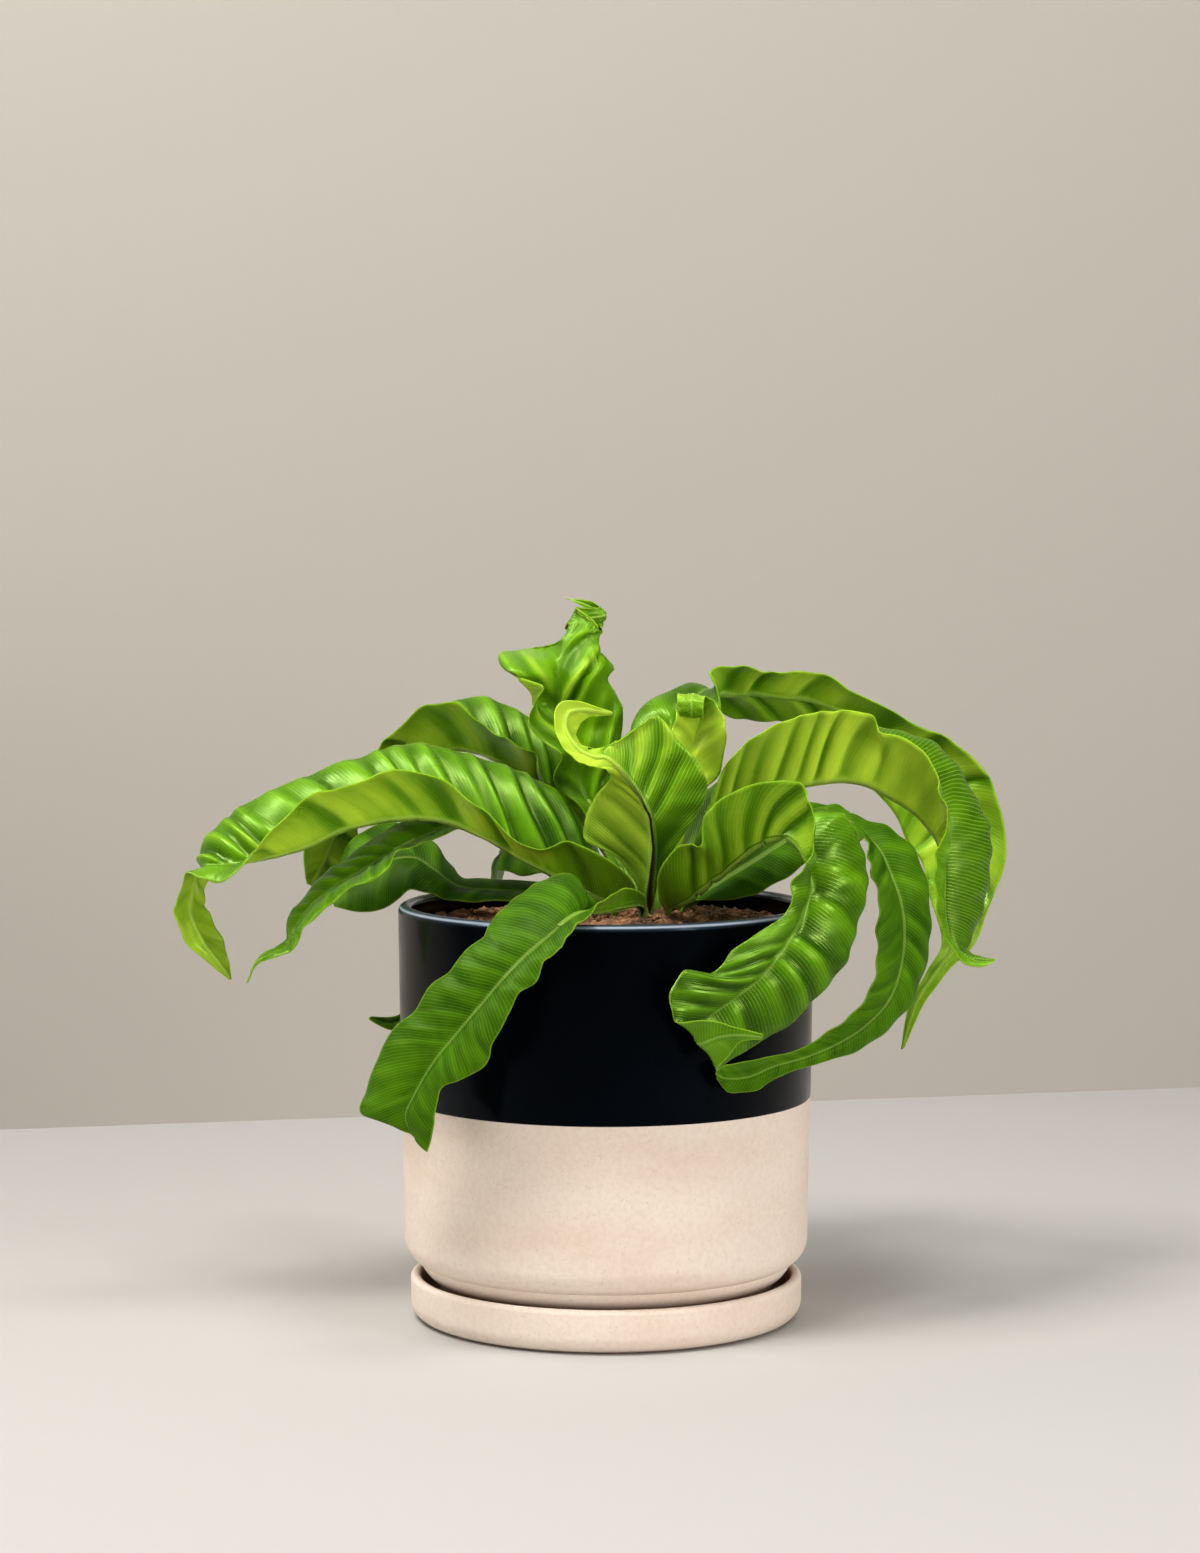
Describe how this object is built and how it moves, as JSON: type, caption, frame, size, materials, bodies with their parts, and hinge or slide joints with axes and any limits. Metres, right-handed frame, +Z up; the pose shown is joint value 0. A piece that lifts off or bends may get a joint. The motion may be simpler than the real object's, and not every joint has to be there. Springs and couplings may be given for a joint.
{
  "type": "potted fern",
  "caption": "Potted bird's nest fern with long wavy arching fronds in a two-tone ceramic planter on a clay saucer.",
  "frame": {"origin": "centre of the saucer's flat underside, on the surface that it stands on", "axes": "+Z up; -Y towards the viewer of the picture; +X to the picture's right"},
  "size_m": [0.3364, 0.2596, 0.2853],
  "materials": {
    "clay": "bare unglazed clay, cream to pinkish beige, matte with fine specks",
    "glaze": "near-black gloss glaze on the upper half and inside the rim; bare cream clay on the lower half",
    "soil": "crumbly dark reddish-brown potting soil",
    "leaf": "glossy green frond, paler and matte underneath"
  },
  "bodies": {
    "root": {"saucer": "clay", "pot": "glaze", "soil": "soil", "frond_left_long": "leaf", "frond_left_low": "leaf", "frond_left_top": "leaf", "frond_left_back_arm": "leaf", "frond_back_left": "leaf", "frond_top_center": "leaf", "frond_center_front": "leaf", "frond_small_coil": "leaf", "frond_right_back": "leaf", "frond_right_arch": "leaf", "frond_right_hook": "leaf", "frond_right_front": "leaf", "frond_front_left_drape": "leaf", "frond_back_mid": "leaf", "frond_back_right": "leaf", "frond_back_far_left": "leaf"}
  },
  "joints": []
}
